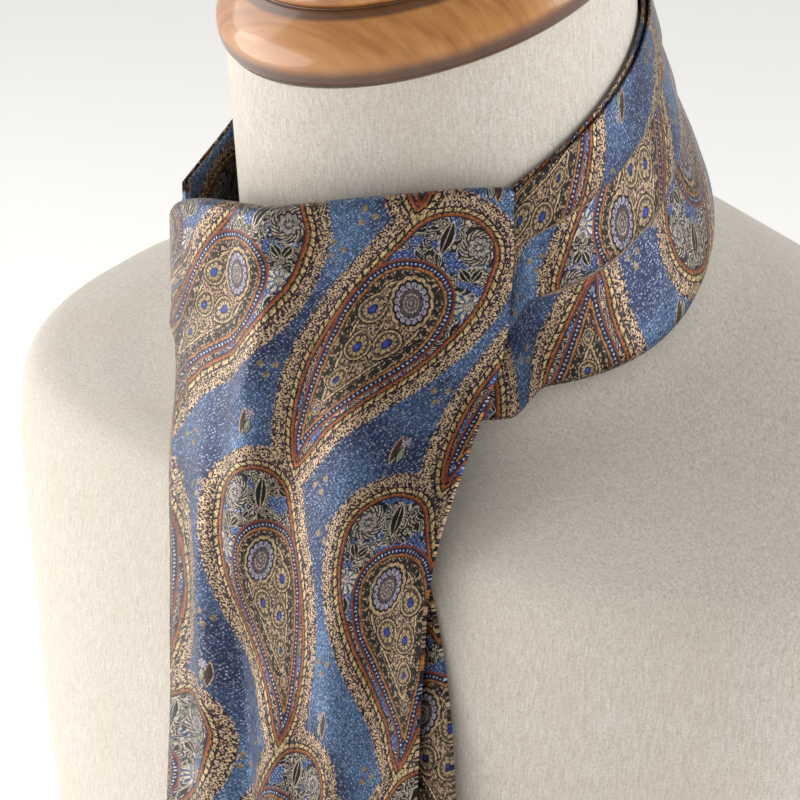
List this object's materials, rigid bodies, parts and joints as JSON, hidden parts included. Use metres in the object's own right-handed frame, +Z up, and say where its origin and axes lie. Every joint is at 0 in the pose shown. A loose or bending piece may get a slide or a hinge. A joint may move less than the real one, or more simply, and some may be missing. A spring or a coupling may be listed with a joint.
{
  "type": "silk cravat on a dress form",
  "caption": "Day cravat of doubled silk, pleated round the neck and falling in a wide pointed blade, on a limbless linen dress form with a turned wooden neck cap.",
  "frame": {"origin": "middle of the bounding box, on the surface that the form's flat waist rests on", "axes": "+Z up, +X to the wearer's left, -Y the way that the form faces"},
  "size_m": [0.3908, 0.2457, 0.5816],
  "materials": {
    "form_linen": "natural linen, plain weave with slubs, stretched smooth",
    "cap_wood": "turned hardwood, orange-brown and polished",
    "silk_jacquard": "blue jacquard silk with large tan and rust paisleys, soft sheen"
  },
  "bodies": {
    "root": {"dress_form": "form_linen", "neck_cap": "cap_wood", "neckband": "silk_jacquard", "throat_wrap": "silk_jacquard", "under_blade": "silk_jacquard", "front_blade": "silk_jacquard"}
  },
  "joints": []
}
